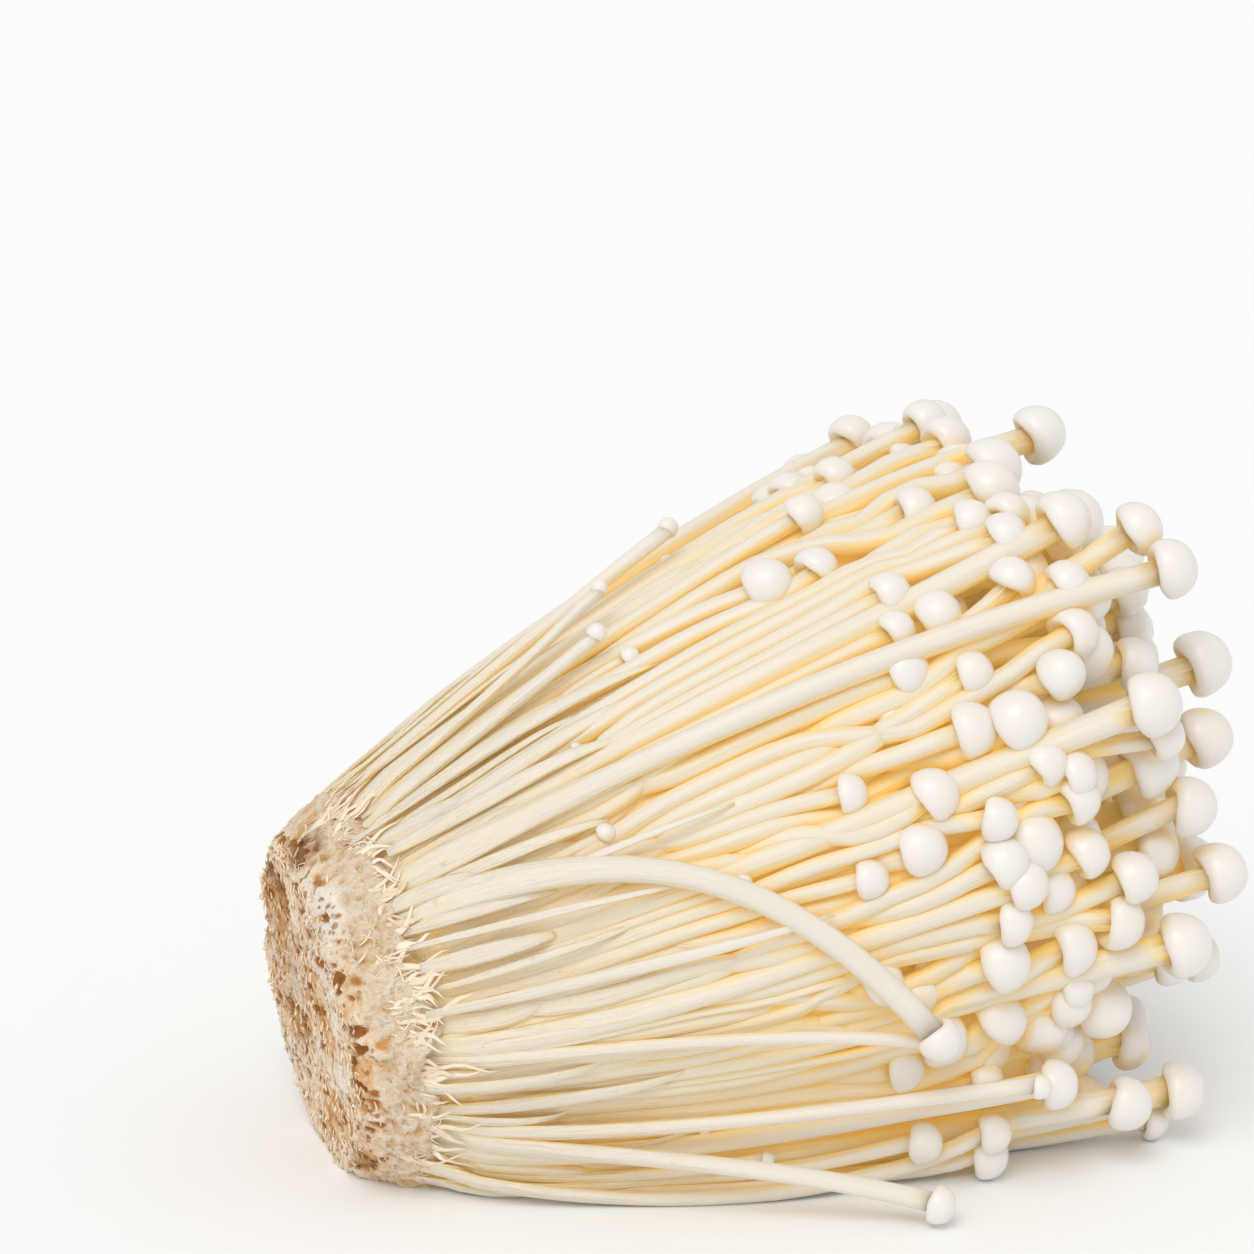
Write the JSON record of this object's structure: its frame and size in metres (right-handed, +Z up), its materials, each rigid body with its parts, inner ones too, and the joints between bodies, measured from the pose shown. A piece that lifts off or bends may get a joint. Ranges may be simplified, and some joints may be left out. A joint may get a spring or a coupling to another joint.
{
  "type": "enoki mushroom bunch",
  "caption": "Bunch of enoki mushrooms lying on its side: slim pale stems with small round caps, fanning out of a shaggy, pitted root block.",
  "frame": {"origin": "on the surface the bunch lies on, under the middle of its bounding box", "axes": "+X from the cut foot of the root block towards the caps, +Y across the bunch, +Z up off the surface"},
  "size_m": [0.134, 0.1118, 0.0986],
  "materials": {
    "mushroom_flesh": null,
    "mycelium": null
  },
  "bodies": {
    "root": {"mushrooms": "mushroom_flesh", "root_block": "mycelium"}
  },
  "joints": []
}
